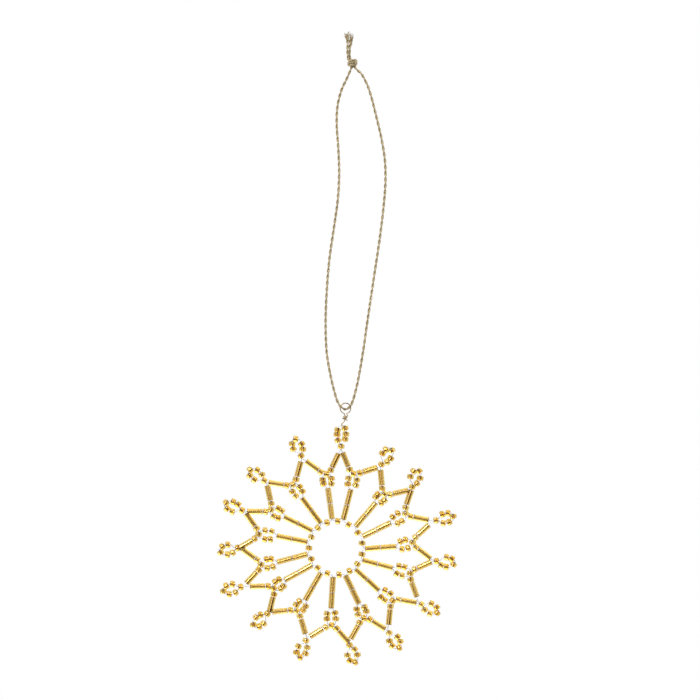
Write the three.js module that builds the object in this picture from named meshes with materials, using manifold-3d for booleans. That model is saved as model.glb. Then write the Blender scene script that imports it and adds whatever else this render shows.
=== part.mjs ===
// A beaded snowflake ornament on a cord loop, in millimetres, +Z up, seen from the front along +Y.
// Glass seeds and glass tubes are threaded on thin wire: fifteen points joined in a zigzag, fifteen
// inner loops in its valleys, and fifteen spokes that run in to an open ring at the centre.
// The origin is the hanging point, where the two strands of the cord meet under its knot.
import * as THREE from 'three';
import { mergeVertices } from 'three/addons/utils/BufferGeometryUtils.js';
import Module from 'manifold-3d';

const wasm = await Module();
wasm.setup();

// Beads and wire
const tubeLength = 6.5;
const tubeDiameter = 2.65;
const seedLength = 2.15;
const seedDiameter = 3;
const seedWaist = 0.6; // share of a seed's length that has its full width
const seedFace = 1.2; // width of the face round a seed's hole
const wireDiameter = 0.3;
const wireDepth = 0.2; // how far a wire's end is modelled inside a seed
const wireSpacing = 0.4; // between two wires that leave the same seed
const shortestWire = 0.9; // bare wire shorter than this is a notch between its two beads
const clearance = 0.3; // left between neighbouring pieces
const mergeDistance = 1e-4;
const beadSides = 4;

// The flake, from the centre outwards
const pointCount = 15;
const ringWire = 1.375; // bare wire on each side of a seed in the centre ring
const spokeLead = 0.8; // from the centre ring out to a spoke's first tube
const loopWire = 0.75; // bare wire for each seed of a loop
const innerLoopHole = 0.9; // clear width inside an inner loop
const pointLoopHole = 1.2; // clear width inside a point's loop
const topLoopHole = 0.8; // clear width inside the top point's loop
const flankWire = 0.65; // from a valley seed to the seed beside it
const pointWire = 1.1; // bare wire from a zigzag tube to the seed at a point's base

// Where the seeds sit round a loop, in degrees from its outer end, the same on both sides
const innerLoopSeats = [77, 118];
const pointLoopSeats = [0, 68, 114];
const topLoopSeats = [57, 90, 125];

// How the hand-bent wire strays from the even pattern, for each point in turn, clockwise from the top:
// degrees round the centre, degrees of lean, millimetres outward, and degrees that its seeds have slipped
const pointTurn = [0.9, 2.6, 1.3, 0.5, -0.7, 1.3, 1.7, 1.8, 3.8, 8, 5.6, 3.9, 1.8, -0.8, 1.3];
const pointLean = [-1.1, 1.8, -33.7, 2.5, -2.1, -9, -1.4, -7.4, 5.1, 2, 9.7, -9.2, -0.4, -9.2, -0.7];
const pointOut = [1.3, -1.5, -0.4, 2.2, 1.2, 1.7, 0.7, -0.2, -0.6, -1.6, 1.7, -0.2, 1, -0.2, -0.1];
const valleyTurn = [-0.6, 3.9, 1.7, -0.2, -1.2, -1.3, 0.1, 1, 5.6, 6.9, 3.4, 2, -1.5, -0.2, 2.8];
const valleyOut = [-0.3, -1.9, 0.3, 0, 0.7, 0.2, -0.6, 0.2, -1.2, -1.3, -0.2, 0.6, -0.7, -0.2, -1.1];
const spokeTurn = [0.4, 3.5, 3.3, 2.5, -0.6, 0.5, -0.6, 2.4, 4.3, 7.6, 2.3, 3.5, -1, -0.2, 2.5];
const hubTurn = [0.9, 4.8, 5.3, 5.6, 5.3, 3.6, 2.7, 3.2, 5, 3.5, 3.6, 3.8, 4.8, 3, 2.7];
const pointSlip = [-5, 20, 20, 2, 20, 15, 3, -13, -11, 15, -4, -17, 14, 13, 14];
const seatShift = 3; // degrees that a seed may slip round its loop
const pointPhase = 2.4; // of that slip, from one point to the next
const seatPhase = 1.9; // and from one seat to the next

// The wire ring that the cord runs through
const ringDiameter = 4.95;
const ringWireDiameter = 0.44;
const ringSegments = 14;
const turnSegments = 6;
const ringCentre = new THREE.Vector3(2, 0, -146.6);
const neckLength = 3; // the turns of wire under the ring
const neckDiameter = 1.9;
const neckTurns = 2;
const neckStart = 0.25; // share of the neck above its first turn
const neckEnd = 0.85; // and above its last
const neckLean = -0.2; // sideways, towards the right
const stemLength = 1; // from the turns down to the hook round the top point's wire

// The cord, its knot and its two tails
const cordDiameter = 1.2;
const cordSides = 8;
const cordSteps = 1.5; // sections for each point of the cord's route
const knotSize = new THREE.Vector3(4.6, 3.6, 3.5);
const knotCentre = new THREE.Vector3(-0.4, 0, 2.05);
const knotTurnTilt = 24; // degrees
const knotSides = 10;
const knotTurnShift = 0.9; // of the turn round the knot, to the right

// The loop's route as it hangs: down the left strand, through the ring and up the right strand
const cordRoute = [
  [-0.75, 0, 0], [-2.6, 0, -4.8], [-4.7, 0, -9.8], [-6.2, 0, -17], [-6.2, 0, -25], [-5.2, 0, -34.7],
  [-4.4, 0, -46], [-4.6, 0, -57], [-5.8, 0, -69], [-7.2, 0, -82], [-7.9, 0, -96], [-7.9, 0, -110],
  [-7, -0.1, -122.5], [-5, -0.5, -132.5], [-2.6, -1, -141], [-1.3, -1.25, -144.2], [0, -1.25, -146],
  [2.1, 0, -147], [4.1, 1.25, -145.5], [4.8, 1.25, -143.8], [5.6, 0.9, -141], [7, 0.3, -134],
  [8.7, 0, -121.5], [9.9, 0, -110], [11.3, 0, -97.5], [12.7, 0, -85], [14, 0, -73.5], [15, 0, -62],
  [15.6, 0, -50], [15.1, 0, -40], [13.2, 0, -30], [11, 0, -21.9], [9, 0, -14.9], [6.7, 0, -8.2],
  [3.9, 0, -3], [1.9, 0, -1.1], [0.75, 0, 0],
];
const leftTail = [
  [-2.3, -0.6, 3.6], [-2.8, -0.65, 7], [-2.9, -0.65, 11], [-3.8, -0.6, 13.8], [-4.7, -0.5, 16.1],
];
const rightTail = [[-1.4, 0.65, 4.1], [-1.9, 0.65, 7.5], [-1.5, 0.65, 11.5], [-1.5, 0.55, 15.4]];

// What the sizes above give
const radians = THREE.MathUtils.degToRad;
const step = 360 / pointCount;
const halfStep = radians(step / 2);
const ringReach = (seedLength + 2 * ringWire) / (2 * Math.sin(halfStep));
const spokeStart = ringReach + spokeLead;
const spokeEnd = spokeStart + 2 * tubeLength + clearance;
const innerLoop = makeLoop(2 * innerLoopSeats.length + 2, innerLoopHole, innerLoopSeats);
const pointLoop = makeLoop(2 * pointLoopSeats.length, pointLoopHole, pointLoopSeats);
const topLoop = makeLoop(2 * topLoopSeats.length + 1, topLoopHole, topLoopSeats);
const innerLoopStart = spokeEnd + clearance + wireDiameter / 2;
const valleyReach = innerLoopStart + 2 * innerLoop.halfLength;
const sideFixed = flankWire + seedLength + clearance + tubeLength; // of a zigzag side, all but its bare end
const sideAcross = valleyReach * Math.sin(halfStep) - (seedLength / 2) * Math.cos(halfStep);
const sideUp = Math.sqrt((sideFixed + pointWire) ** 2 - sideAcross ** 2);
const pointReach = valleyReach * Math.cos(halfStep) + sideUp + seedLength / 2;
const ringBottom = ringCentre.z - ringDiameter / 2;
const topWireDrop = neckLength + stemLength + clearance + ringWireDiameter / 2;
const topPointReach = pointReach + pointOut[0] + seedLength / 2 + 2 * topLoop.halfLength;
const flakeCentreZ = ringBottom - topWireDrop - topPointReach;

const glass = new THREE.MeshStandardMaterial({ color: 0xd8a63c, roughness: 0.22, metalness: 0.55 });
const brass = new THREE.MeshStandardMaterial({ color: 0x9c7b3e, roughness: 0.35, metalness: 1 });
const cordThread = new THREE.MeshStandardMaterial({ color: 0xb59a62, roughness: 0.5, metalness: 0.45 });

// A loop's oval: long enough for its seeds, each with its bare wire, and as wide as its hole needs
function makeLoop(seeds, hole, seats) {
  const halfWidth = (hole + seedDiameter) / 2;
  const meanRadius = (seeds * (seedLength + loopWire)) / (2 * Math.PI);
  const halfLength = Math.sqrt(2 * meanRadius ** 2 - halfWidth ** 2);
  return { halfWidth, halfLength, seats };
}

// A value of one of the lists above, which start again after their last one
function stray(list, index) {
  return list[(index + list.length) % list.length];
}

// A unit vector in the plane of the flake, at an angle clockwise from straight up
function heading(degrees) {
  return new THREE.Vector3(Math.sin(radians(degrees)), 0, Math.cos(radians(degrees)));
}

// The direction a quarter turn clockwise from another
function clockwiseOf(direction) {
  return new THREE.Vector3(direction.z, 0, -direction.x);
}

function along(start, direction, distance) {
  return start.clone().addScaledVector(direction, distance);
}

// A place on the flake, by its angle clockwise from straight up and its distance from the centre
function onFlake(degrees, reach) {
  return along(new THREE.Vector3(0, 0, flakeCentreZ), heading(degrees), reach);
}

// The cross-sections that a threaded chain runs through: bare wire, a seed and a glass tube
function wireAt(at, direction) {
  return [{ at, direction, diameter: wireDiameter }];
}

function bead(at, direction, length, waist, diameter, faceDiameter) {
  return [
    { at: along(at, direction, -length / 2), direction, diameter: faceDiameter },
    { at: along(at, direction, -waist / 2), direction, diameter },
    { at: along(at, direction, waist / 2), direction, diameter },
    { at: along(at, direction, length / 2), direction, diameter: faceDiameter },
  ];
}

function seed(at, direction, faceDiameter = wireDiameter) {
  return bead(at, direction, seedLength, seedLength * seedWaist, seedDiameter, faceDiameter);
}

function tube(at, direction) {
  return bead(at, direction, tubeLength, tubeLength, tubeDiameter, wireDiameter);
}

// A tube at the end of a chain, whose last face is flat
function endTube(at, direction) {
  return tube(at, direction).slice(0, -1);
}

// Where two beads of a chain lie close together, one section of wire half way between them
function withoutShortWire(sections) {
  const kept = [sections[0]];
  for (const [index, section] of sections.entries()) {
    const before = kept.at(-1);
    const inside = kept.length > 1 && index + 1 < sections.length;
    const bothWire = before.diameter === wireDiameter && section.diameter === wireDiameter;
    if (inside && bothWire && before.at.distanceTo(section.at) < shortestWire) {
      before.at = before.at.clone().lerp(section.at, 0.5);
      before.direction = before.direction.clone().add(section.direction).normalize();
    } else if (index > 0) {
      kept.push(section);
    }
  }
  return kept;
}

// One closed solid through a chain's cross-sections, all in the plane of the flake
function chain(...parts) {
  const sections = withoutShortWire(parts.flat());
  const vertices = [];
  const triangles = [];
  for (const { at, direction, diameter } of sections) {
    const across = clockwiseOf(direction);
    for (let i = 0; i < beadSides; i++) {
      const angle = (2 * Math.PI * i) / beadSides;
      const corner = along(at, across, (diameter / 2) * Math.cos(angle));
      vertices.push(corner.x, corner.y + (diameter / 2) * Math.sin(angle), corner.z);
    }
  }
  for (let row = 0; row + 1 < sections.length; row++) {
    for (let i = 0; i < beadSides; i++) {
      const a = row * beadSides + i;
      const b = row * beadSides + ((i + 1) % beadSides);
      triangles.push(a, b, b + beadSides, a, b + beadSides, a + beadSides);
    }
  }
  const last = (sections.length - 1) * beadSides;
  for (let i = 1; i + 1 < beadSides; i++) {
    triangles.push(0, i + 1, i, last, last + i, last + i + 1);
  }
  return solid(new Float32Array(vertices), new Uint32Array(triangles));
}

function solid(vertProperties, triVerts) {
  return new wasm.Manifold(new wasm.Mesh({ numProp: 3, vertProperties, triVerts }));
}

function solidOf(geometry) {
  geometry.deleteAttribute('normal');
  geometry.deleteAttribute('uv');
  const merged = mergeVertices(geometry, mergeDistance);
  return solid(merged.attributes.position.array, new Uint32Array(merged.index.array));
}

function piece(name, body, material) {
  const made = body.getMesh();
  const geometry = new THREE.BufferGeometry();
  geometry.setAttribute('position', new THREE.BufferAttribute(made.vertProperties, 3));
  geometry.setIndex(new THREE.BufferAttribute(made.triVerts, 1));
  geometry.computeVertexNormals();
  const mesh = new THREE.Mesh(geometry, material);
  mesh.name = name;
  return mesh;
}

// A smooth curve whose steps follow its points, close together where the points are
class Route extends THREE.CatmullRomCurve3 {
  getUtoTmapping(u) {
    return u;
  }
}

// A round rod swept along a smooth route
function rod(route, diameter, sides, stepsPerPoint) {
  const outline = [];
  for (let i = 0; i < sides; i++) {
    const angle = (2 * Math.PI * i) / sides;
    outline.push(new THREE.Vector2(Math.cos(angle), Math.sin(angle)).multiplyScalar(diameter / 2));
  }
  const extrudePath = new Route(route);
  const steps = Math.round(stepsPerPoint * (route.length - 1));
  return solidOf(new THREE.ExtrudeGeometry(new THREE.Shape(outline), { steps, extrudePath }));
}

// The seeds of a loop that starts and ends at one place, as chain sections, in the order of their
// angles, which are counted from the loop's far end
function loopSeeds(start, outward, loop, angles) {
  const across = clockwiseOf(outward);
  return angles.flatMap((degrees) => {
    const angle = radians(degrees);
    const at = along(start, outward, loop.halfLength * (1 + Math.cos(angle)));
    at.addScaledVector(across, loop.halfWidth * Math.sin(angle));
    const direction = across.clone().multiplyScalar(loop.halfWidth * Math.cos(angle));
    direction.addScaledVector(outward, -loop.halfLength * Math.sin(angle)).normalize();
    return seed(at, direction);
  });
}

// The angles of a loop's seats from left to right over its far end, each a little out of place
function seatAngles(loop, index, slip = 0) {
  const right = loop.seats;
  const left = right.filter((degrees) => degrees > 0).map((degrees) => -degrees).reverse();
  return [...left, ...right].map((degrees, i) => {
    return degrees + slip + seatShift * Math.sin(pointPhase * index + seatPhase * i);
  });
}

// Where the chains of the flake meet, for the point, valley and spoke of one index
function pointBase(index) {
  const degrees = step * index + stray(pointTurn, index);
  const at = onFlake(degrees, pointReach + stray(pointOut, index));
  const outward = heading(degrees + stray(pointLean, index));
  const foot = along(at, outward, -seedLength / 2);
  const top = along(at, outward, seedLength / 2);
  return { at, outward, inward: outward.clone().negate(), clockwise: clockwiseOf(outward), foot, top };
}

function valleySeed(index) {
  const degrees = step * (index + 0.5) + stray(valleyTurn, index);
  const at = onFlake(degrees, valleyReach + stray(valleyOut, index));
  const outward = heading(degrees);
  const clockwise = clockwiseOf(outward);
  const left = along(at, clockwise, -seedLength / 2);
  const right = along(at, clockwise, seedLength / 2);
  return { at, outward, clockwise, anticlockwise: clockwise.clone().negate(), left, right };
}

function hubJoint(index) {
  return onFlake(step * (index + 0.5) + stray(hubTurn, index), ringReach);
}

// A zigzag side, from a valley seed's end to a point's foot
function side(from, to) {
  const direction = to.clone().sub(from).normalize();
  const flankAt = along(from, direction, flankWire + seedLength / 2);
  const tubeAt = along(from, direction, sideFixed - tubeLength / 2);
  return { direction, flankAt, tubeAt, back: direction.clone().negate() };
}

// Where a wire starts inside a seed: just under one of its faces, beside the middle of its hole
function wireInside(face, outOfFace, beside, offset) {
  return wireAt(along(along(face, outOfFace, -wireDepth), beside, offset), outOfFace);
}

// A seed of the centre ring, its wire, and the spoke's two glass tubes
function makeSpoke(index) {
  const joint = hubJoint(index);
  const nextJoint = hubJoint(index + 1);
  const back = joint.clone().sub(nextJoint).normalize();
  const ringSeedAt = joint.clone().add(nextJoint).multiplyScalar(0.5);
  const end = onFlake(step * (index + 0.5) + stray(spokeTurn, index), spokeEnd);
  const outward = end.clone().sub(joint).normalize();
  const turn = back.clone().add(outward).normalize();
  const ringStart = along(nextJoint, back, clearance + wireDiameter);
  return chain(
    wireAt(ringStart, back),
    seed(ringSeedAt, back),
    wireAt(joint, turn),
    tube(along(end, outward, -clearance - 1.5 * tubeLength), outward),
    endTube(along(end, outward, -tubeLength / 2), outward),
  );
}

// A valley seed with the seed on each side of it, and the loop that hangs from it towards the centre
function makeInnerLoop(index) {
  const valley = valleySeed(index);
  const leftSide = side(valley.left, pointBase(index).foot);
  const rightSide = side(valley.right, pointBase(index + 1).foot);
  const { clockwise, anticlockwise, outward } = valley;
  const leftFlank = chain(
    wireInside(valley.left, anticlockwise, outward, wireSpacing / 2),
    seed(leftSide.flankAt, leftSide.direction),
  );
  const rightFlank = chain(
    wireInside(valley.right, clockwise, outward, wireSpacing / 2),
    seed(rightSide.flankAt, rightSide.direction),
  );
  const start = onFlake(step * (index + 0.5) + stray(spokeTurn, index), innerLoopStart);
  const loopOutward = valley.at.clone().sub(start).normalize();
  const loop = { halfWidth: innerLoop.halfWidth, halfLength: valley.at.distanceTo(start) / 2 };
  const angles = seatAngles(innerLoop, index);
  const hanging = chain(
    wireInside(valley.right, clockwise, outward, -wireSpacing / 2),
    loopSeeds(start, loopOutward, loop, angles.slice(angles.length / 2)),
    wireAt(start, clockwiseOf(loopOutward).negate()),
    loopSeeds(start, loopOutward, loop, angles.slice(0, angles.length / 2)),
    wireAt(along(along(valley.left, clockwise, wireDepth), outward, -wireSpacing / 2), clockwise),
  );
  return chain(seed(valley.at, clockwise, seedFace)).add(leftFlank).add(rightFlank).add(hanging);
}

// A point: the seed at its base, the loop beyond it, and the zigzag tube on each side
function makePoint(index, loop) {
  const { at, outward, inward, clockwise, foot, top } = pointBase(index);
  const leftSide = side(valleySeed(index - 1).right, foot);
  const rightSide = side(valleySeed(index).left, foot);
  const leftTube = chain(
    wireInside(foot, inward, clockwise, -wireSpacing / 2),
    endTube(leftSide.tubeAt, leftSide.back),
  );
  const rightTube = chain(
    wireInside(foot, inward, clockwise, wireSpacing / 2),
    endTube(rightSide.tubeAt, rightSide.back),
  );
  const angles = seatAngles(loop, index, stray(pointSlip, index));
  const farWire = loop.seats.includes(0) ? [] : wireAt(along(top, outward, 2 * loop.halfLength), clockwise);
  const half = Math.floor(angles.length / 2);
  const ring = chain(
    wireInside(top, outward, clockwise, -wireSpacing / 2),
    loopSeeds(top, outward, loop, angles.slice(0, half)),
    farWire,
    loopSeeds(top, outward, loop, angles.slice(half)),
    wireAt(along(along(top, inward, wireDepth), clockwise, wireSpacing / 2), inward),
  );
  return chain(seed(at, outward, seedFace)).add(leftTube).add(rightTube).add(ring);
}

// The wire ring, two turns of wire round its neck, and the stem that hooks under the top point's wire
function makeHangingRing() {
  const centreRadius = (ringDiameter - ringWireDiameter) / 2;
  const torus = new THREE.TorusGeometry(centreRadius, ringWireDiameter / 2, beadSides, ringSegments);
  torus.rotateX(Math.PI / 2).translate(ringCentre.x, ringCentre.y, ringCentre.z);
  const neckTop = new THREE.Vector3(ringCentre.x, 0, ringBottom + ringWireDiameter);
  const neckFoot = new THREE.Vector3(ringCentre.x + neckLean, 0, ringBottom - neckLength);
  const turns = [];
  const turnRadius = (neckDiameter - ringWireDiameter) / 2;
  const turnSteps = neckTurns * turnSegments;
  for (let i = 0; i <= turnSteps; i++) {
    const angle = (2 * Math.PI * i) / turnSegments;
    const at = neckTop.clone().lerp(neckFoot, neckStart + ((neckEnd - neckStart) * i) / turnSteps);
    turns.push(at.add(new THREE.Vector3(Math.cos(angle), Math.sin(angle), 0).multiplyScalar(turnRadius)));
  }
  const hookRadius = (ringWireDiameter + wireDiameter) / 2 + clearance;
  const base = pointBase(0);
  const topWire = along(base.top, base.outward, 2 * topLoop.halfLength);
  const hook = [-1, 0, 1].map((i) => {
    const angle = (Math.PI / 2) * i;
    const round = new THREE.Vector3(0, Math.sin(angle), Math.cos(angle));
    return along(topWire, round, -hookRadius);
  });
  const stemRoute = [neckTop, neckFoot, ...hook];
  const stem = rod(stemRoute, ringWireDiameter, beadSides, 2);
  const middle = neckTop.clone().lerp(neckFoot, neckStart);
  const bridge = rod([middle, turns[0]], ringWireDiameter, beadSides, 1);
  return solidOf(torus).add(stem).add(bridge).add(rod(turns, ringWireDiameter, beadSides, 1));
}

function makeCordKnot() {
  const lump = new THREE.SphereGeometry(0.5, knotSides, knotSides / 2).rotateX(Math.PI / 2);
  lump.scale(knotSize.x, knotSize.y, knotSize.z);
  const turnRadius = (knotSize.z - cordDiameter) / 2;
  const turn = new THREE.TorusGeometry(turnRadius, cordDiameter / 2, knotSides / 2, knotSides);
  turn.rotateY(Math.PI / 2).scale(1, knotSize.y / knotSize.z, 1);
  turn.rotateY(radians(knotTurnTilt)).translate(knotTurnShift, 0, 0);
  return solidOf(lump).add(solidOf(turn)).translate(knotCentre.toArray());
}

function makeCord(route) {
  return rod(route.map((at) => new THREE.Vector3(...at)), cordDiameter, cordSides, cordSteps);
}

const ornament = new THREE.Group();
for (let index = 0; index < pointCount; index++) {
  const number = String(index + 1).padStart(2, '0');
  ornament.add(piece(`spoke_${number}`, makeSpoke(index), glass));
  ornament.add(piece(`inner_loop_${number}`, makeInnerLoop(index), glass));
  ornament.add(piece(`point_${number}`, makePoint(index, index === 0 ? topLoop : pointLoop), glass));
}
ornament.add(piece('hanging_ring', makeHangingRing(), brass));
ornament.add(piece('hanging_cord', makeCord(cordRoute), cordThread));
ornament.add(piece('cord_knot', makeCordKnot(), cordThread));
ornament.add(piece('cord_tail_left', makeCord(leftTail), cordThread));
ornament.add(piece('cord_tail_right', makeCord(rightTail), cordThread));

export default ornament;
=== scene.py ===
import math
import random

import bmesh
import bpy
from mathutils import Matrix, Vector
from mathutils.geometry import interpolate_bezier


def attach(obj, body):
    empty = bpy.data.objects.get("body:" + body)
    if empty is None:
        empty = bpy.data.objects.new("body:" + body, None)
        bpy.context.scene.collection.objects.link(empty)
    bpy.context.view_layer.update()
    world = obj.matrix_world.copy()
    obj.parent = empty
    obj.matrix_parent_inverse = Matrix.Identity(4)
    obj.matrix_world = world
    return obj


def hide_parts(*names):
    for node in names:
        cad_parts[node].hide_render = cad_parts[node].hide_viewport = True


# A beaded snowflake ornament on a twisted cord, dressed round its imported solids. Sizes are in millimetres
# and go into Blender in metres. The flake lies in the XZ plane and faces the camera, which looks along +Y.
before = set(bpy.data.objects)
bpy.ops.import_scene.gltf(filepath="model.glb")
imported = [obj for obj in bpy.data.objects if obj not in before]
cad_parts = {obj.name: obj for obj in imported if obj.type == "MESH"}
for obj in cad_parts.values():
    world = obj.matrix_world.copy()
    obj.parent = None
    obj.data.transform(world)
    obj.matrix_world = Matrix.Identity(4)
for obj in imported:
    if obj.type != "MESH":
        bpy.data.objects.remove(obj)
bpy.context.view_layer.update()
mm = 0.001
chance = random.Random(15)


def inMetres(at):
    return Vector(at) * mm


# The camera comes first, because the cords are measured against its view
cameraSet = dict(
    pixelSize=0.43,  # of the photograph, at the flake
    imageSide=700,
    hangingPixel=(353.3, 67.5),  # where the hanging point shows
    roll=2.088,  # degrees that the photograph is turned
    distance=2600,
    sensor=36,
)


def makeCamera(spec):
    roll = math.radians(spec["roll"])
    right = Vector((math.cos(roll), 0, math.sin(roll)))
    up = Vector((-math.sin(roll), 0, math.cos(roll)))
    middle = spec["imageSide"] / 2
    across = (middle - spec["hangingPixel"][0]) * spec["pixelSize"]
    down = (spec["hangingPixel"][1] - middle) * spec["pixelSize"]
    target = right * across + up * down
    data = bpy.data.cameras.new("camera")
    data.sensor_width = spec["sensor"]
    data.lens = spec["sensor"] * spec["distance"] / (spec["imageSide"] * spec["pixelSize"])
    data.clip_start = 0.05
    data.clip_end = 20
    camera = bpy.data.objects.new("camera", data)
    bpy.context.collection.objects.link(camera)
    place = Matrix((right, up, Vector((0, -1, 0)))).transposed().to_4x4()
    place.translation = inMetres(target + Vector((0, -spec["distance"], 0)))
    camera.matrix_world = place
    bpy.context.scene.camera = camera


makeCamera(cameraSet)
print("camera made")


# Materials: node groups for beads, wire and thread, then the looks that use them
def newGroup(name, inputs, outputs):
    group = bpy.data.node_groups.new(name, "ShaderNodeTree")
    for label, kind, value in inputs:
        socket = group.interface.new_socket(name=label, in_out="INPUT", socket_type=kind)
        socket.default_value = value
    for label, kind in outputs:
        group.interface.new_socket(name=label, in_out="OUTPUT", socket_type=kind)
    return group, group.nodes.new("NodeGroupInput"), group.nodes.new("NodeGroupOutput")


def mixNode(tree, kind, blend, factor, a, b):
    node = tree.nodes.new("ShaderNodeMix")
    node.data_type = kind
    node.blend_type = blend
    # The node's sockets for each kind: factor, both inputs, and then the output
    numbered = {"RGBA": (0, 6, 7, 2), "FLOAT": (0, 2, 3, 0)}[kind]
    for index, value in zip(numbered, (factor, a, b)):
        if isinstance(value, bpy.types.NodeSocket):
            tree.links.new(value, node.inputs[index])
        else:
            node.inputs[index].default_value = value
    return node.outputs[numbered[3]]


def mathNode(tree, operation, a, b=0.0):
    node = tree.nodes.new("ShaderNodeMath")
    node.operation = operation
    for index, value in enumerate((a, b)):
        if isinstance(value, bpy.types.NodeSocket):
            tree.links.new(value, node.inputs[index])
        else:
            node.inputs[index].default_value = value
    return node.outputs[0]


beadGrain = dict(detail=3, streakTint=(0.55, 0.42, 0.28, 1))
wireGrain = dict(detail=4, scratchScale=5200, patchEdge=(0.42, 0.62))
threadGrain = dict(speckScale=2600, cloudScale=140, lift=0.45, dull=0.62, smooth=0.34)


# How a hand-picked batch of beads differs: a colour for each bead between two, and cloudy streaks in it
def makeBatchGroup():
    rgb, value = "NodeSocketColor", "NodeSocketFloat"
    group, given, out = newGroup(
        "beadBatch",
        [("Pale", rgb, (1, 1, 1, 1)), ("Deep", rgb, (0, 0, 0, 1)), ("Streak Scale", value, 900.0),
         ("Streaks", value, 0.2), ("Smooth", value, 0.02), ("Dull", value, 0.1)],
        [("Colour", rgb), ("Roughness", value)],
    )
    tint = group.nodes.new("ShaderNodeAttribute")
    tint.attribute_name = "beadTint"
    where = group.nodes.new("ShaderNodeTexCoord")
    noise = group.nodes.new("ShaderNodeTexNoise")
    noise.inputs["Detail"].default_value = beadGrain["detail"]
    group.links.new(where.outputs["Object"], noise.inputs["Vector"])
    group.links.new(given.outputs["Streak Scale"], noise.inputs["Scale"])
    batch = mixNode(group, "RGBA", "MIX", tint.outputs["Fac"], given.outputs["Pale"], given.outputs["Deep"])
    streak = mathNode(group, "MULTIPLY", noise.outputs["Fac"], given.outputs["Streaks"])
    shade = mixNode(group, "RGBA", "MULTIPLY", streak, batch, beadGrain["streakTint"])
    rough = mixNode(
        group, "FLOAT", "MIX", noise.outputs["Fac"], given.outputs["Smooth"], given.outputs["Dull"])
    group.links.new(shade, out.inputs["Colour"])
    group.links.new(rough, out.inputs["Roughness"])
    return group


# Drawn wire: a bright colour with tarnish in patches and fine scratches
def makeWireGroup():
    rgb, value = "NodeSocketColor", "NodeSocketFloat"
    group, given, out = newGroup(
        "drawnWire",
        [("Bright", rgb, (1, 1, 1, 1)), ("Tarnish", rgb, (0, 0, 0, 1)), ("Patch Scale", value, 300.0),
         ("Tarnished", value, 0.5), ("Bright Roughness", value, 0.2), ("Tarnish Roughness", value, 0.5)],
        [("Colour", rgb), ("Roughness", value), ("Height", value)],
    )
    where = group.nodes.new("ShaderNodeTexCoord")
    patches = group.nodes.new("ShaderNodeTexNoise")
    patches.inputs["Detail"].default_value = wireGrain["detail"]
    scratches = group.nodes.new("ShaderNodeTexNoise")
    scratches.inputs["Scale"].default_value = wireGrain["scratchScale"]
    group.links.new(where.outputs["Object"], patches.inputs["Vector"])
    group.links.new(where.outputs["Object"], scratches.inputs["Vector"])
    group.links.new(given.outputs["Patch Scale"], patches.inputs["Scale"])
    edge = group.nodes.new("ShaderNodeMapRange")
    edge.inputs["From Min"].default_value, edge.inputs["From Max"].default_value = wireGrain["patchEdge"]
    group.links.new(patches.outputs["Fac"], edge.inputs["Value"])
    share = mathNode(group, "MULTIPLY", edge.outputs["Result"], given.outputs["Tarnished"])
    colour = mixNode(group, "RGBA", "MIX", share, given.outputs["Bright"], given.outputs["Tarnish"])
    rough = mixNode(group, "FLOAT", "MIX", share, given.outputs["Bright Roughness"],
                    given.outputs["Tarnish Roughness"])
    group.links.new(colour, out.inputs["Colour"])
    group.links.new(rough, out.inputs["Roughness"])
    group.links.new(scratches.outputs["Fac"], out.inputs["Height"])
    return group


# Fine metallic threads that wind round a ply of the cord, by the ply's own map: along, then round.
# Their colour is painted light and shade: lighter on the ridges of the threads and in fine specks, dark in
# the grooves between them
def makeThreadGroup():
    rgb, value = "NodeSocketColor", "NodeSocketFloat"
    group, given, out = newGroup(
        "threadLay",
        [("Light", rgb, (1, 1, 1, 1)), ("Groove Shade", rgb, (0, 0, 0, 1)), ("Threads", value, 7.0),
         ("Lay", value, 1.0), ("Cloud Shade", value, 0.3)],
        [("Colour", rgb), ("Roughness", value), ("Height", value)],
    )
    along = group.nodes.new("ShaderNodeAttribute")
    along.attribute_name = "cordLay"
    where = group.nodes.new("ShaderNodeTexCoord")
    split = group.nodes.new("ShaderNodeSeparateXYZ")
    group.links.new(along.outputs["Vector"], split.inputs["Vector"])
    turns = mathNode(group, "MULTIPLY", split.outputs["X"], given.outputs["Lay"])
    count = mathNode(group, "MULTIPLY", split.outputs["Y"], given.outputs["Threads"])
    phase = mathNode(group, "MULTIPLY", mathNode(group, "ADD", turns, count), 2 * math.pi)
    ridge = mathNode(group, "MULTIPLY", mathNode(group, "ADD", mathNode(group, "SINE", phase), 1.0), 0.5)
    speck = group.nodes.new("ShaderNodeTexNoise")
    speck.inputs["Scale"].default_value = threadGrain["speckScale"]
    cloud = group.nodes.new("ShaderNodeTexNoise")
    cloud.inputs["Scale"].default_value = threadGrain["cloudScale"]
    group.links.new(where.outputs["Object"], speck.inputs["Vector"])
    group.links.new(where.outputs["Object"], cloud.inputs["Vector"])
    # Painted light on the thread ridges, brighter in fine specks, and painted shade in the grooves between
    # the threads
    lifted = mathNode(group, "ADD", speck.outputs["Fac"], threadGrain["lift"])
    ridgeLight = mathNode(group, "MULTIPLY", ridge, lifted)
    # Painted shade in random clouds, darkening the threads
    cloudShade = mathNode(group, "MULTIPLY", cloud.outputs["Fac"], given.outputs["Cloud Shade"])
    lit = mathNode(group, "SUBTRACT", ridgeLight, cloudShade)
    colour = mixNode(group, "RGBA", "MIX", lit, given.outputs["Groove Shade"], given.outputs["Light"])
    rough = mixNode(group, "FLOAT", "MIX", lit, threadGrain["dull"], threadGrain["smooth"])
    group.links.new(colour, out.inputs["Colour"])
    group.links.new(rough, out.inputs["Roughness"])
    group.links.new(ridge, out.inputs["Height"])
    return group


batchGroup = makeBatchGroup()
wireGroup = makeWireGroup()
threadGroup = makeThreadGroup()


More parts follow.
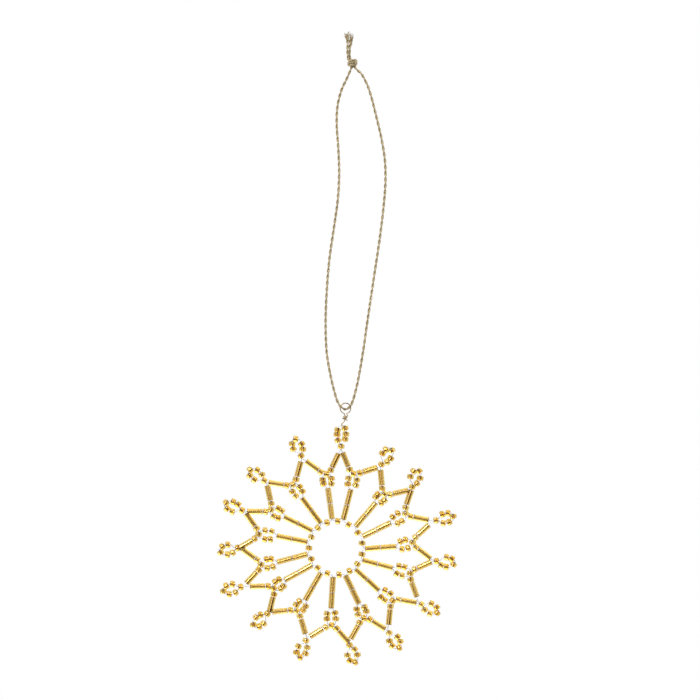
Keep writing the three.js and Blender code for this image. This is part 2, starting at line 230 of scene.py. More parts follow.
def makeMaterial(name, group, values, shader, bump=None):
    material = bpy.data.materials.new(name)
    material.use_nodes = True
    tree = material.node_tree
    surface = tree.nodes["Principled BSDF"]
    look = tree.nodes.new("ShaderNodeGroup")
    look.node_tree = group
    for label, value in values.items():
        look.inputs[label].default_value = value
    for label, value in shader.items():
        surface.inputs[label].default_value = value
    tree.links.new(look.outputs["Colour"], surface.inputs["Base Color"])
    tree.links.new(look.outputs["Roughness"], surface.inputs["Roughness"])
    if bump:
        relief = tree.nodes.new("ShaderNodeBump")
        relief.inputs["Strength"].default_value = bump["strength"]
        relief.inputs["Distance"].default_value = bump["depth"] * mm
        tree.links.new(look.outputs["Height"], relief.inputs["Height"])
        tree.links.new(relief.outputs["Normal"], surface.inputs["Normal"])
    return material


glassLook = dict(
    batch={"Pale": (0.85, 0.68, 0.21, 1), "Deep": (0.72, 0.47, 0.06, 1), "Streak Scale": 500.0,
           "Streaks": 0.25, "Smooth": 0.02, "Dull": 0.09},
    shader={"Transmission Weight": 1.0, "IOR": 1.5},
)
liningLook = dict(
    batch={"Pale": (0.93, 0.79, 0.66, 1), "Deep": (0.88, 0.74, 0.56, 1), "Streak Scale": 900.0,
           "Streaks": 0.6, "Smooth": 0.1, "Dull": 0.3},
    shader={"Metallic": 1.0},
)
cutLook = dict(
    batch={"Pale": (0.5, 0.34, 0.13, 1), "Deep": (0.34, 0.2, 0.06, 1), "Streak Scale": 2400.0,
           "Streaks": 0.8, "Smooth": 0.3, "Dull": 0.6},
    shader={"Transmission Weight": 0.35, "IOR": 1.5},
)
beadWireLook = dict(
    wire={"Bright": (0.72, 0.71, 0.69, 1), "Tarnish": (0.34, 0.31, 0.27, 1), "Patch Scale": 260.0,
          "Tarnished": 0.6, "Bright Roughness": 0.22, "Tarnish Roughness": 0.5},
    shader={"Metallic": 1.0},
    bump=dict(strength=0.25, depth=0.02),
)
ringLook = dict(
    wire={"Bright": (0.55, 0.39, 0.16, 1), "Tarnish": (0.15, 0.09, 0.03, 1), "Patch Scale": 420.0,
          "Tarnished": 0.9, "Bright Roughness": 0.24, "Tarnish Roughness": 0.5},
    shader={"Metallic": 1.0},
    bump=dict(strength=0.4, depth=0.03),
)
cordLook = dict(
    # The dark colour is painted shade for the grooves between the threads
    threads={"Light": (0.96, 0.8, 0.5, 1), "Groove Shade": (0.2, 0.14, 0.05, 1), "Threads": 6.0,
             # The last value sets how much painted shade falls in random clouds
             "Lay": 1.4, "Cloud Shade": 0.35},
    shader={"Metallic": 0.55, "Sheen Weight": 0.2, "Sheen Roughness": 0.5},
    bump=dict(strength=0.7, depth=0.05),
)
glass = makeMaterial("silverLinedGlass", batchGroup, glassLook["batch"], glassLook["shader"])
lining = makeMaterial("goldLining", batchGroup, liningLook["batch"], liningLook["shader"])
cutGlass = makeMaterial("cutGlassEnd", batchGroup, cutLook["batch"], cutLook["shader"])
beadWireMetal = makeMaterial(
    "silverGreyWire", wireGroup, beadWireLook["wire"], beadWireLook["shader"], beadWireLook["bump"])
ringMetal = makeMaterial("dullBrassWire", wireGroup, ringLook["wire"], ringLook["shader"], ringLook["bump"])
cordMetal = makeMaterial(
    "metallicThread", threadGroup, cordLook["threads"], cordLook["shader"], cordLook["bump"])
print("materials made")


# Routes and curves, for the cord and every wire: a smooth line through given points, in even steps
def smoothRoute(points, stepLength):
    points = [Vector(p) for p in points]
    before = [points[0] * 2 - points[1]] + points[:-1]
    after = points[1:] + [points[-1] * 2 - points[-2]]
    tangents = [(b - a).normalized() for a, b in zip(before, after)]
    line = [points[0]]
    for index in range(len(points) - 1):
        a, b = points[index], points[index + 1]
        reach = (b - a).length / 3
        steps = max(2, round(3 * reach / stepLength))
        leaving, arriving = a + tangents[index] * reach, b - tangents[index + 1] * reach
        line += interpolate_bezier(a, leaving, arriving, b, steps + 1)[1:]
    return line


# A frame that turns with the route and not round it: place, along, beside and above at each step
def framesAlong(line):
    frames = []
    beside = None
    for index, at in enumerate(line):
        ahead = (line[min(index + 1, len(line) - 1)] - line[max(index - 1, 0)]).normalized()
        if beside is None:
            beside = ahead.orthogonal().normalized() if abs(ahead.y) > 0.9 else Vector((0, 1, 0))
        beside = (beside - ahead * beside.dot(ahead)).normalized()
        frames.append((at, ahead, beside, ahead.cross(beside)))
    return frames


def addSpline(curve, points, closed=False):
    spline = curve.splines.new("POLY")
    spline.points.add(len(points) - 1)
    for target, at in zip(spline.points, points):
        target.co = (*(at * mm), 1)
    spline.use_cyclic_u = closed
    return spline


def newCurve(name, diameter, roundness):
    curve = bpy.data.curves.new(name, "CURVE")
    curve.dimensions = "3D"
    curve.bevel_depth = diameter * mm / 2
    curve.bevel_resolution = roundness
    curve.use_fill_caps = True
    return curve


def pieceOf(name, data, material, slot, *nodes):
    made = bpy.data.objects.new(name, data)
    bpy.context.collection.objects.link(made)
    for one in material if isinstance(material, list) else [material]:
        data.materials.append(one)
    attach(made, "root")
    if nodes:
        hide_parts(*nodes)
    return made


# A rope of two plies wound round each other along a route.
# Each ply has its own map of how far along and how far round it lies
def twistedRope(name, routes, spec, material, *nodes, untwistedEnd=0):
    curve = newCurve(name + "Curve", spec["ply"], spec["roundness"])
    maps = []
    for route in routes:
        line = smoothRoute(route, spec["step"])
        lengths = [0.0]
        for a, b in zip(line, line[1:]):
            lengths.append(lengths[-1] + (b - a).length)
        for ply in range(2):
            strand = []
            for (at, ahead, beside, above), s in zip(framesAlong(line), lengths):
                angle = 2 * math.pi * s / spec["pitch"] + math.pi * ply + spec["phase"]
                slack = max(0, s - (lengths[-1] - untwistedEnd)) * spec["splay"] if untwistedEnd else 0
                reach = spec["offset"] + slack
                strand.append(at + (beside * math.cos(angle) + above * math.sin(angle)) * reach)
            addSpline(curve, strand)
            maps.append(lengths)
    shaped = bpy.data.objects.new(name + "Curve", curve)
    bpy.context.collection.objects.link(shaped)
    bpy.context.view_layer.update()
    mesh = bpy.data.meshes.new_from_object(shaped.evaluated_get(bpy.context.evaluated_depsgraph_get()))
    bpy.data.objects.remove(shaped)
    mesh.name = name
    layRopeMap(mesh, maps, 4 + 2 * spec["roundness"])
    return pieceOf(name, mesh, material, "cord", *nodes)


# How far along the cord, and how far round its ply, each corner of the mesh lies
def layRopeMap(mesh, maps, sides):
    lay = mesh.attributes.new("cordLay", "FLOAT_VECTOR", "POINT")
    values = []
    for lengths in maps:
        for s in lengths:
            values += [(s, abs(2 * side / sides - 1), 0) for side in range(sides)]
    values += [(0, 0, 0)] * (len(mesh.vertices) - len(values))
    for item, value in zip(lay.data, values):
        item.vector = value


# The cord runs down the left strand, through the ring and up the right strand
cord = dict(
    diameter=1.2, ply=0.62, offset=0.29, pitch=5.4, step=0.3, roundness=2, phase=0.6, splay=0.0,
    route=[
        (-0.75, 0, 0), (-2.6, 0, -4.8), (-4.7, 0, -9.8), (-6.2, 0, -17), (-6.2, 0, -25), (-5.2, 0, -34.7),
        (-4.4, 0, -46), (-4.6, 0, -57), (-5.8, 0, -69), (-7.2, 0, -82), (-7.9, 0, -96), (-7.9, 0, -110),
        (-7, -0.1, -122.5), (-5, -0.5, -132.5), (-2.6, -1, -141), (-1.3, -1.25, -144.2), (0, -1.25, -146),
        (2.1, 0, -147), (4.1, 1.25, -145.5), (4.8, 1.25, -143.8), (5.6, 0.9, -141), (7, 0.3, -134),
        (8.7, 0, -121.5), (9.9, 0, -110), (11.3, 0, -97.5), (12.7, 0, -85), (14, 0, -73.5), (15, 0, -62),
        (15.6, 0, -50), (15.1, 0, -40), (13.2, 0, -30), (11, 0, -21.9), (9, 0, -14.9), (6.7, 0, -8.2),
        (3.9, 0, -3), (1.9, 0, -1.1), (0.75, 0, 0),
    ],
    ringStop=17,  # of the route's points, the one inside the wire ring
    length=303,
)
strandEnds = dict(left=(-0.45, 0.1, 1.1), right=(0.55, 0.1, 1.1))  # inside the knot

loopRope = twistedRope(
    "cord_loop", [[strandEnds["left"], *cord["route"], strandEnds["right"]]], cord, cordMetal, "hanging_cord")

knot = dict(
    cord, ply=0.6, offset=0.27, pitch=5.0, step=0.22,
    wraps=[
        (-0.6, 0.3, 0.5), (0.35, 1.0, 0.75), (-1.0, 1.3, 0.85), (-2.15, 0.2, 0.95), (-1.7, -1.05, 0.85),
        (-0.3, -1.3, 0.95), (0.85, -0.55, 1.3), (0.6, 0.95, 1.7), (-0.9, 1.35, 1.9), (-2.15, 0.2, 2.0),
        (-1.7, -1.0, 1.95), (-0.35, -1.2, 1.95), (0.45, -0.35, 2.2), (0.2, 0.8, 2.7), (-1.0, 1.1, 2.95),
        (-2.05, 0.2, 2.9), (-1.85, -0.7, 2.8), (-1.0, -1.1, 2.7), (-0.6, -0.6, 2.9), (-1.3, -0.2, 3.1),
        (-2.1, -0.5, 3.3), (-2.35, -0.55, 3.9),
    ],
    roundTurn=[
        (0.5, 0.2, 0.6), (0.1, 0.85, 1.5), (-0.4, 0.5, 2.9), (0.2, -0.35, 3.35), (1.05, -0.65, 3.0),
        (1.35, -0.8, 2.1), (0.95, -0.95, 1.25), (0.1, -0.55, 1.0), (-0.9, 0.1, 1.7), (-1.2, 0.5, 3.0),
        (-1.4, 0.6, 4.2),
    ],
)
knotRope = twistedRope("knot_turns", [knot["wraps"], knot["roundTurn"]], knot, cordMetal, "cord_knot")

tails = dict(
    cord, ply=0.58, offset=0.27, pitch=4.6, step=0.25, splay=0.16,
    left=[(-2.3, -0.55, 3.3), (-2.78, -0.6, 7), (-2.8, -0.55, 10.6), (-3.2, -0.5, 13.2)],
    right=[(-1.7, 0.55, 3.8), (-1.8, 0.6, 7.5), (-1.6, 0.6, 10.6), (-1.2, 0.55, 12.6)],
    untwisted=2.8,
)
fray = dict(
    threads=34, diameter=0.2, length=(1.2, 3.1), start=3.4, curl=0.3, swing=0.3, step=0.35,
    spread=(0.45, 0.4),  # how far the threads start from the middle, across and deep
    lean=dict(left=(-0.5, 0.5), right=(-0.6, 0.2)),
    strays=dict(
        left=[(-0.3, 3.5), (-0.34, 3.2), (-0.42, 2.7), (-0.75, 1.6)],
        right=[(-0.05, 3.2), (-0.12, 2.9)],
    ),
)


# A tail and the fine threads that its plies come apart into: most fill a fan, and a few stand out
def makeTail(side, node):
    rope = twistedRope(f"tail_{side}", [tails[side]], tails, cordMetal, node, untwistedEnd=tails["untwisted"])
    curve = newCurve(f"fray_{side}", fray["diameter"], 0)
    end = Vector(tails[side][-1])
    leans, lengths, swing = fray["lean"][side], fray["length"], fray["swing"]
    fan = [(chance.uniform(*leans), chance.uniform(*lengths)) for _ in range(fray["threads"])]
    for lean, reach in fan + fray["strays"][side]:
        ahead = Vector((lean, chance.uniform(-swing, swing), 1)).normalized()
        bend = Vector((chance.uniform(-1, 1), chance.uniform(-1, 1), 0)) * fray["curl"]
        across, deep = (chance.uniform(-half, half) for half in fray["spread"])
        start = end + Vector((across, deep, -chance.random() * fray["start"]))
        points = [start, start + ahead * reach * 0.5 + bend, start + ahead * reach]
        addSpline(curve, smoothRoute(points, fray["step"]))
    return rope, pieceOf(f"fray_{side}", curve, cordMetal, "cord")


leftTail, leftFray = makeTail("left", "cord_tail_left")
rightTail, rightFray = makeTail("right", "cord_tail_right")
loopPath = cord["route"][cord["ringStop"]:] + cord["route"][:cord["ringStop"] + 1]
[tuple(p * mm) for p in smoothRoute(loopPath, 1)]
print("cord, knot and tails made")


# The flake's plan: where every bead sits on its wire, from the centre outwards
beads = dict(
    tubeLength=6.5, tubeDiameter=2.65, tubeHole=1.25, seedLength=2.15, seedDiameter=3, seedHole=1.05,
    tubeSides=16, seedSides=12, wireSpacing=0.4, clearance=0.3,
    lengthStray=(0, 0.03), widthStray=0.03,  # tubes are longer by up to the first, and seeds shorter
    seedTilt=5, tubeTilt=1,
    # Corners of the outline: how far inside the bead's side and its end
    seedCorners=[(0.4, 0), (0.08, 0.3), (0, 0.62)], tubeCorners=[(0.16, 0), (0, 0.2)],
    holeDrop=0.06, liningReach=0.02, cutDepth=0.25, seedCrease=55, tubeCrease=30,
    seedTints=(0.35, 1.0), tubeTints=(0.0, 0.3),
)
flake = dict(
    pointCount=15, ringWire=1.375, spokeLead=0.8, loopWire=0.75, innerLoopHole=0.9, pointLoopHole=1.2,
    topLoopHole=0.8, flankWire=0.65, pointWire=1.1, innerLoopSeats=[77, 118], pointLoopSeats=[0, 68, 114],
    topLoopSeats=[57, 90, 125], seatShift=3, pointPhase=2.4, seatPhase=1.9,
)
# How the hand-bent wire strays, for each point in turn, clockwise from the top: degrees and millimetres
strays = dict(
    pointTurn=[0.9, 2.6, 1.3, 0.5, -0.7, 1.3, 1.7, 1.8, 3.8, 8, 5.6, 3.9, 1.8, -0.8, 1.3],
    pointLean=[-1.1, 1.8, -33.7, 2.5, -2.1, -9, -1.4, -7.4, 5.1, 2, 9.7, -9.2, -0.4, -9.2, -0.7],
    pointOut=[1.3, -1.5, -0.4, 2.2, 1.2, 1.7, 0.7, -0.2, -0.6, -1.6, 1.7, -0.2, 1, -0.2, -0.1],
    valleyTurn=[-0.6, 3.9, 1.7, -0.2, -1.2, -1.3, 0.1, 1, 5.6, 6.9, 3.4, 2, -1.5, -0.2, 2.8],
    valleyOut=[-0.3, -1.9, 0.3, 0, 0.7, 0.2, -0.6, 0.2, -1.2, -1.3, -0.2, 0.6, -0.7, -0.2, -1.1],
    spokeTurn=[0.4, 3.5, 3.3, 2.5, -0.6, 0.5, -0.6, 2.4, 4.3, 7.6, 2.3, 3.5, -1, -0.2, 2.5],
    hubTurn=[0.9, 4.8, 5.3, 5.6, 5.3, 3.6, 2.7, 3.2, 5, 3.5, 3.6, 3.8, 4.8, 3, 2.7],
    # Degrees that the seeds of the point's loop have slipped round it
    pointSlip=[-5, 20, 20, 2, 20, 15, 3, -13, -11, 15, -4, -17, 14, 13, 14],
)
ringWire = dict(
    diameter=4.95, wire=0.44, centre=Vector((2, 0, -146.6)), neckLength=3, neckLean=-0.2,
    stemLength=1, stepsRound=28, roundness=2, step=0.25, hookGap=0.05,
    hookDegrees=(-200, -150, -100, -50, 0, 45),
    # Turns round the neck, from the ring's lowest place
    neckTurns=[
        (0.75, -0.45, -0.15), (1.0, -0.2, -0.75), (0.6, 0.6, -1.05), (-0.5, 0.65, -1.1), (-0.85, -0.15, -1.2),
        (-0.35, -0.75, -1.3), (0.5, -0.65, -1.45), (0.8, 0.1, -1.6), (0.3, 0.75, -1.75), (-0.55, 0.55, -1.85),
        (-1.05, -0.1, -1.95), (-0.45, -0.75, -2.05), (0.4, -0.6, -2.3), (1.05, -0.25, -2.75),
    ],
)
beadWire = dict(diameter=0.3, roundness=2, step=0.5, longestPull=1.2)
count = flake["pointCount"]
step = 360 / count
halfStep = math.radians(step / 2)
seedLength, seedDiameter, tubeLength = beads["seedLength"], beads["seedDiameter"], beads["tubeLength"]


def heading(degrees):
    return Vector((math.sin(math.radians(degrees)), 0, math.cos(math.radians(degrees))))


def clockwiseOf(direction):
    return Vector((direction.z, 0, -direction.x))


def makeLoop(seeds, hole, seats):
    halfWidth = (hole + seedDiameter) / 2
    meanRadius = seeds * (seedLength + flake["loopWire"]) / (2 * math.pi)
    return dict(halfWidth=halfWidth, halfLength=math.sqrt(2 * meanRadius ** 2 - halfWidth ** 2), seats=seats)


innerLoop = makeLoop(6, flake["innerLoopHole"], flake["innerLoopSeats"])
pointLoop = makeLoop(6, flake["pointLoopHole"], flake["pointLoopSeats"])
topLoop = makeLoop(7, flake["topLoopHole"], flake["topLoopSeats"])
hubReach = (seedLength + 2 * flake["ringWire"]) / (2 * math.sin(halfStep))
spokeEnd = hubReach + flake["spokeLead"] + 2 * tubeLength + beads["clearance"]
loopStart = spokeEnd + beads["clearance"] + beadWire["diameter"] / 2
valleyReach = loopStart + 2 * innerLoop["halfLength"]
sideFixed = flake["flankWire"] + seedLength + beads["clearance"] + tubeLength
sideAcross = valleyReach * math.sin(halfStep) - seedLength / 2 * math.cos(halfStep)
sideUp = math.sqrt((sideFixed + flake["pointWire"]) ** 2 - sideAcross ** 2)
pointReach = valleyReach * math.cos(halfStep) + sideUp + seedLength / 2
ringBottom = ringWire["centre"].z - ringWire["diameter"] / 2
topWireDrop = ringWire["neckLength"] + ringWire["stemLength"] + beads["clearance"] + ringWire["wire"] / 2
topReach = pointReach + strays["pointOut"][0] + seedLength / 2 + 2 * topLoop["halfLength"]
flakeCentre = Vector((0, 0, ringBottom - topWireDrop - topReach))


def stray(name, index):
    return strays[name][index % count]


def onFlake(degrees, reach):
    return flakeCentre + heading(degrees) * reach


def seatAngles(loop, index, slip=0):
    right = loop["seats"]
    left = [-degrees for degrees in reversed(right) if degrees > 0]
    shift = [math.sin(flake["pointPhase"] * index + flake["seatPhase"] * i) for i in range(len(left + right))]
    return [degrees + slip + flake["seatShift"] * s for degrees, s in zip(left + right, shift)]


# A loop's seeds as (place, direction), by their angles from its far end
def loopSeats(start, outward, loop, angles):
    along = outward * loop["halfLength"]
    across = clockwiseOf(outward) * loop["halfWidth"]
    seats = []
    for degrees in angles:
        a = math.radians(degrees)
        at = start + along * (1 + math.cos(a)) + across * math.sin(a)
        ahead = across * math.cos(a) - along * math.sin(a)
        seats.append((at, ahead.normalized()))
    return seats


def pointBase(index):
    degrees = step * index + stray("pointTurn", index)
    at = onFlake(degrees, pointReach + stray("pointOut", index))
    outward = heading(degrees + stray("pointLean", index))
    foot, top = at - outward * seedLength / 2, at + outward * seedLength / 2
    return dict(at=at, outward=outward, clockwise=clockwiseOf(outward), foot=foot, top=top)


def valleySeed(index):
    degrees = step * (index + 0.5) + stray("valleyTurn", index)
    at = onFlake(degrees, valleyReach + stray("valleyOut", index))
    outward = heading(degrees)
    clockwise = clockwiseOf(outward)
    left, right = at - clockwise * seedLength / 2, at + clockwise * seedLength / 2
    return dict(at=at, outward=outward, clockwise=clockwise, left=left, right=right)


def hubJoint(index):
    return onFlake(step * (index + 0.5) + stray("hubTurn", index), hubReach)


def zigzagSide(start, end):
    ahead = (end - start).normalized()
    flank = start + ahead * (flake["flankWire"] + seedLength / 2)
    return dict(ahead=ahead, flank=flank, tube=start + ahead * (sideFixed - tubeLength / 2))


# A bead is a closed ring of glass. Its hole is lined with metal, and a tube's cut ends are rough
def makeBead(name, outline, sides, hole, crease, cutEnds=None):
    bm = bmesh.new()
    rim = [bm.verts.new((radius * mm, 0, height * mm)) for radius, height in outline]
    edges = [bm.edges.new(pair) for pair in zip(rim, rim[1:] + rim[:1])]
    bmesh.ops.spin(bm, geom=rim + edges, axis=(0, 0, 1), cent=(0, 0, 0), angle=2 * math.pi, steps=sides,
                   use_merge=True)
    bmesh.ops.remove_doubles(bm, verts=bm.verts, dist=1e-7)
    bmesh.ops.recalc_face_normals(bm, faces=bm.faces)
    for face in bm.faces:
        face.smooth = True
        reach = (hole / 2 + beads["liningReach"]) * mm
        inside = all(Vector((v.co.x, v.co.y)).length < reach for v in face.verts)
        cut = cutEnds and abs(face.calc_center_median().z) > cutEnds * mm
        face.material_index = 1 if inside else 2 if cut else 0
    for edge in bm.edges:
        edge.smooth = edge.calc_face_angle(0) < math.radians(crease)
    mesh = bpy.data.meshes.new(name)
    bm.to_mesh(mesh)
    bm.free()
    return mesh


def ringOutline(length, diameter, hole, corners):
    half = [(diameter / 2 - inset, length / 2 - drop) for inset, drop in corners]
    top = [(hole / 2, length / 2 - beads["holeDrop"])] + half
    return top + [(radius, -height) for radius, height in reversed(top)]


seedShape = makeBead(
    "seedShape", ringOutline(seedLength, seedDiameter, beads["seedHole"], beads["seedCorners"]),
    beads["seedSides"], beads["seedHole"], beads["seedCrease"])
tubeShape = makeBead(
    "tubeShape", ringOutline(tubeLength, beads["tubeDiameter"], beads["tubeHole"], beads["tubeCorners"]),
    beads["tubeSides"], beads["tubeHole"], beads["tubeCrease"], cutEnds=tubeLength / 2 - beads["cutDepth"])


# All the beads of one piece, each a little its own size, turn and colour
def makeBeads(name, seeds, tubes, node):
    bm = bmesh.new()
    tint = bm.verts.layers.float.new("beadTint")
    kinds = ((seedShape, seeds, beads["seedTints"]), (tubeShape, tubes, beads["tubeTints"]))
    for shape, places, tints in kinds:
        for at, ahead in places:
            first = len(bm.verts)
            bm.from_mesh(shape)
            bm.verts.ensure_lookup_table()
            fresh = bm.verts[first:]
            tilt = beads["seedTilt"] if shape is seedShape else beads["tubeTilt"]
            turn = ahead.to_track_quat("Z", "Y").to_matrix().to_4x4()
            turn = turn @ Matrix.Rotation(math.radians(chance.uniform(-tilt, tilt)), 4, "X")
            turn = turn @ Matrix.Rotation(math.radians(chance.uniform(-tilt, tilt)), 4, "Y")
            turn = turn @ Matrix.Rotation(chance.uniform(0, 2 * math.pi), 4, "Z")
            wide = 1 + chance.uniform(-1, 1) * beads["widthStray"]
            long = 1 + chance.uniform(*beads["lengthStray"]) * (1 if shape is tubeShape else -1)
            size = Matrix.Diagonal((wide, wide, long, 1))
            bmesh.ops.transform(bm, matrix=Matrix.Translation(inMetres(at)) @ turn @ size, verts=fresh)
            shade = chance.uniform(*tints)
            for vert in fresh:
                vert[tint] = shade
    mesh = bpy.data.meshes.new(name)
    bm.to_mesh(mesh)
    bm.free()
    return pieceOf(name, mesh, [glass, lining, cutGlass], "gold_glass", node)


# The wire that joins them: stops are (place, direction, reach), where reach is how far it runs straight
spokeThread = []
zigzagThread = []
apart = beads["wireSpacing"] / 2
for index in range(count):
    number = f"{index + 1:02d}"
    joint, nextJoint = hubJoint(index), hubJoint(index + 1)
    ringAhead = (nextJoint - joint).normalized()
    ringSeed = (joint + nextJoint) / 2
    end = onFlake(step * (index + 0.5) + stray("spokeTurn", index), spokeEnd)
    outward = (end - joint).normalized()
    across = clockwiseOf(outward)
    spokeTubes = [(end - outward * (beads["clearance"] + 1.5 * tubeLength), outward),
                  (end - outward * tubeLength / 2, outward)]
    makeBeads(f"spoke_beads_{number}", [(ringSeed, ringAhead)], spokeTubes, f"spoke_{number}")

    valley = valleySeed(index)
    left = zigzagSide(valley["left"], pointBase(index)["foot"])
    right = zigzagSide(valley["right"], pointBase(index + 1)["foot"])
    start = onFlake(step * (index + 0.5) + stray("spokeTurn", index), loopStart)
    loopOutward = (valley["at"] - start).normalized()
    loop = dict(innerLoop, halfLength=(valley["at"] - start).length / 2)
    hanging = loopSeats(start, loopOutward, loop, seatAngles(innerLoop, index))
    flanked = [
        (left["flank"], left["ahead"]), (valley["at"], valley["clockwise"]), (right["flank"], right["ahead"])]
    makeBeads(f"inner_loop_beads_{number}", flanked + hanging, [], f"inner_loop_{number}")

    base = pointBase(index)
    into = zigzagSide(valleySeed(index - 1)["right"], base["foot"])
    back = zigzagSide(valleySeed(index)["left"], base["foot"])
    shape = pointLoop if index else topLoop
    angles = seatAngles(shape, index, stray("pointSlip", index))
    ringed = loopSeats(base["top"], base["outward"], shape, angles)
    pointSeeds = [(base["at"], base["outward"])] + ringed
    zigzagTubes = [(into["tube"], into["ahead"]), (back["tube"], back["ahead"])]
    makeBeads(f"point_beads_{number}", pointSeeds, zigzagTubes, f"point_{number}")

    half = seedLength / 2
    halfTube = tubeLength / 2
    up = [(at - across * apart, outward, halfTube) for at, _ in spokeTubes]
    down = [(at + across * apart, -outward, halfTube) for at, _ in reversed(spokeTubes)]
    inner = [(at, ahead, half) for at, ahead in hanging]
    spokeThread += up + inner[:2] + [(valley["at"] - valley["outward"] * apart, valley["clockwise"], half)]
    spokeThread += inner[2:] + down + [(ringSeed, ringAhead, half)]

    rise = (base["at"] - base["clockwise"] * apart, base["outward"], half)
    fall = (base["at"] + base["clockwise"] * apart, -base["outward"], half)
    zigzagThread += [(into["flank"], into["ahead"], half), (into["tube"], into["ahead"], halfTube), rise]
    zigzagThread += [(at, ahead, half) for at, ahead in ringed] + [fall]
    zigzagThread += [(back["tube"], -back["ahead"], halfTube), (back["flank"], -back["ahead"], half)]
    zigzagThread += [(valley["at"] + valley["outward"] * apart, valley["clockwise"], half)]
print("beads made")


# The bead wire is two closed threads, one through the spokes and inner loops, one through the zigzag.
# It runs straight through each bead and curves between them
def threadLine(stops, stepLength):
    ends = []
    for at, ahead, reach in stops:
        ends.append((at - ahead * reach, at + ahead * reach, ahead))
    line = []
    for (entry, leave, ahead), (nextEntry, _, nextAhead) in zip(ends, ends[1:] + ends[:1]):
        gap = (nextEntry - leave).length
        pull = min(gap / 3, beadWire["longestPull"])
        steps = max(3, round(gap / stepLength))
        line.append(entry)
        leaving, arriving = leave + ahead * pull, nextEntry - nextAhead * pull
        line += interpolate_bezier(leave, leaving, arriving, nextEntry, steps + 1)[:-1]
    return line


wireCurve = newCurve("bead_wire", beadWire["diameter"], beadWire["roundness"])
for thread in (spokeThread, zigzagThread):
    addSpline(wireCurve, threadLine(thread, beadWire["step"]), closed=True)
pieceOf("bead_wire", wireCurve, beadWireMetal, "ring_wire")
print("bead wire made")


# The wire ring: a hook round the top point's wire, a stem, the ring, and turns round its neck
def makeRing(spec):
    radius = (spec["diameter"] - spec["wire"]) / 2
    centre, wire = spec["centre"], spec["wire"]
    base = pointBase(0)
    topWire = base["top"] + base["outward"] * 2 * topLoop["halfLength"]
    hook = (wire + beadWire["diameter"]) / 2 + spec["hookGap"]
    neckTop = Vector((centre.x, 0, ringBottom + wire))
    neckFoot = Vector((centre.x + spec["neckLean"], 0, ringBottom - spec["neckLength"]))
    hooked = [topWire + Vector((0, hook * math.cos(a), hook * math.sin(a)))
              for a in map(math.radians, spec["hookDegrees"])]
    route = hooked + [
        neckFoot + Vector((0, 0.25, 0.2)),
        neckFoot.lerp(neckTop, 0.5) + Vector((0.1, 0.3, 0)),
        centre + Vector((-0.35, 0.2, -radius - 0.25)),
    ]
    for i in range(1, spec["stepsRound"]):
        angle = 2 * math.pi * i / spec["stepsRound"]
        route.append(centre + Vector((-math.sin(angle) * radius, 0.2 - 0.4 * i / spec["stepsRound"],
                                      -math.cos(angle) * radius)))
    foot = Vector((centre.x, 0, ringBottom))
    route += [foot + Vector(turn) for turn in spec["neckTurns"]]
    curve = newCurve("hang_ring_wire", wire, spec["roundness"])
    addSpline(curve, smoothRoute(route, spec["step"]))
    return pieceOf("hang_ring_wire", curve, ringMetal, "ring_wire", "hanging_ring")


makeRing(ringWire)
print("wire ring made")


# Stage: a pale floor far below, white air and soft lamps
stage = dict(
    floorDrop=460, floorSide=1200, floorShift=380, floorColour=(0.86, 0.85, 0.83, 1), floorRoughness=0.9,
    lampAim=(0, 0, -0.2),  # in metres, as the lamps are
    lamps=[
        dict(name="keyLamp", at=(-0.7, -1.3, 0.9), size=0.5, power=16),
        dict(name="fillLamp", at=(1.3, -1.0, 0.2), size=0.6, power=3),
        dict(name="backLamp", at=(0.3, 1.2, 0.7), size=0.9, power=8),
    ],
    frontLow=0.16, frontHigh=0.5, behind=1.0, rise=(-0.5, 0.7), edge=(-0.15, 0.25),
    # What else glass and metal show: direction, how wide it starts and ends as a cosine, and how bright
    patches=[
        dict(towards=(-0.48, -0.84, 0.25), full=0.95, none=0.84, level=1.9),
        dict(towards=(-0.1, -0.5, 0.86), full=0.9, none=0.75, level=1.3),
        dict(towards=(0.5, -0.8, -0.32), full=0.95, none=0.84, level=0.02),
    ],
)


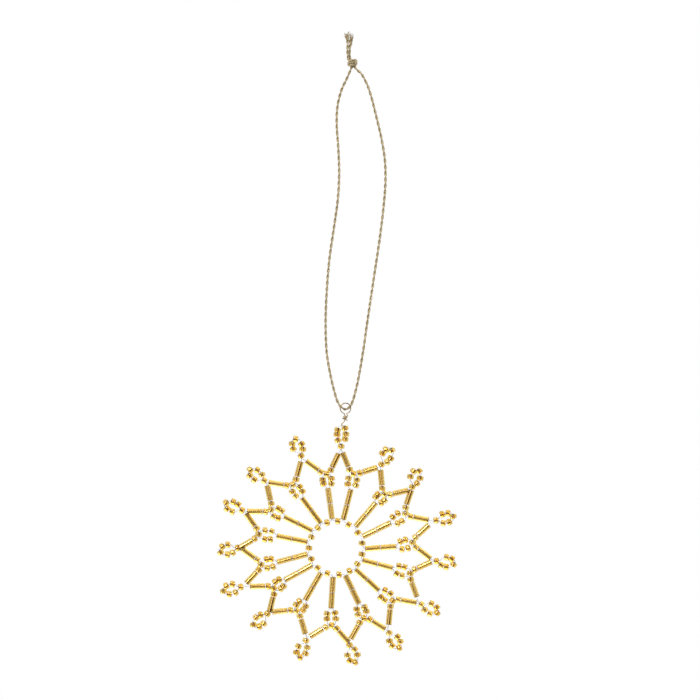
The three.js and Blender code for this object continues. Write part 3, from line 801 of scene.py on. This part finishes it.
def makeStage(spec):
    bm = bmesh.new()
    bmesh.ops.create_grid(bm, x_segments=1, y_segments=1, size=spec["floorSide"] * mm / 2)
    bmesh.ops.translate(bm, verts=bm.verts, vec=inMetres((0, spec["floorShift"], -spec["floorDrop"])))
    mesh = bpy.data.meshes.new("floor")
    bm.to_mesh(mesh)
    bm.free()
    floor = bpy.data.objects.new("floor", mesh)
    bpy.context.collection.objects.link(floor)
    paint = bpy.data.materials.new("paleFloor")
    paint.use_nodes = True
    surface = paint.node_tree.nodes["Principled BSDF"]
    surface.inputs["Base Color"].default_value = spec["floorColour"]
    surface.inputs["Roughness"].default_value = spec["floorRoughness"]
    mesh.materials.append(paint)
    middle = Vector(spec["lampAim"])
    for lamp in spec["lamps"]:
        data = bpy.data.lights.new(lamp["name"], "AREA")
        data.size = lamp["size"]
        data.energy = lamp["power"]
        light = bpy.data.objects.new(lamp["name"], data)
        bpy.context.collection.objects.link(light)
        at = Vector(lamp["at"]) + middle
        turn = (at - middle).to_track_quat("Z", "Y").to_matrix().to_4x4()
        light.matrix_world = Matrix.Translation(at) @ turn


def rangeNode(tree, value, low, high):
    node = tree.nodes.new("ShaderNodeMapRange")
    node.interpolation_type = "SMOOTHSTEP"
    tree.links.new(value, node.inputs["Value"])
    node.inputs["From Min"].default_value = low
    node.inputs["From Max"].default_value = high
    return node.outputs["Result"]


# White to the eye. What glass and metal show is a white wall behind, a dim room in front and a few patches
def makeAir(spec):
    world = bpy.data.worlds.new("studioAir")
    bpy.context.scene.world = world
    world.use_nodes = True
    tree = world.node_tree
    where = tree.nodes.new("ShaderNodeTexCoord").outputs["Generated"]
    split = tree.nodes.new("ShaderNodeSeparateXYZ")
    tree.links.new(where, split.inputs["Vector"])
    high = rangeNode(tree, split.outputs["Z"], *spec["rise"])
    level = mixNode(tree, "FLOAT", "MIX", high, spec["frontLow"], spec["frontHigh"])
    for patch in spec["patches"]:
        dot = tree.nodes.new("ShaderNodeVectorMath")
        dot.operation = "DOT_PRODUCT"
        tree.links.new(where, dot.inputs[0])
        dot.inputs[1].default_value = Vector(patch["towards"]).normalized()
        share = rangeNode(tree, dot.outputs["Value"], patch["none"], patch["full"])
        level = mixNode(tree, "FLOAT", "MIX", share, level, patch["level"])
    back = rangeNode(tree, split.outputs["Y"], *spec["edge"])
    level = mixNode(tree, "FLOAT", "MIX", back, level, spec["behind"])
    eye = tree.nodes.new("ShaderNodeLightPath").outputs["Is Camera Ray"]
    level = mixNode(tree, "FLOAT", "MIX", eye, level, 1.0)
    tree.links.new(level, tree.nodes["Background"].inputs["Color"])
    bpy.context.scene.view_settings.view_transform = "Standard"


makeStage(stage)
makeAir(stage)
print("stage made")
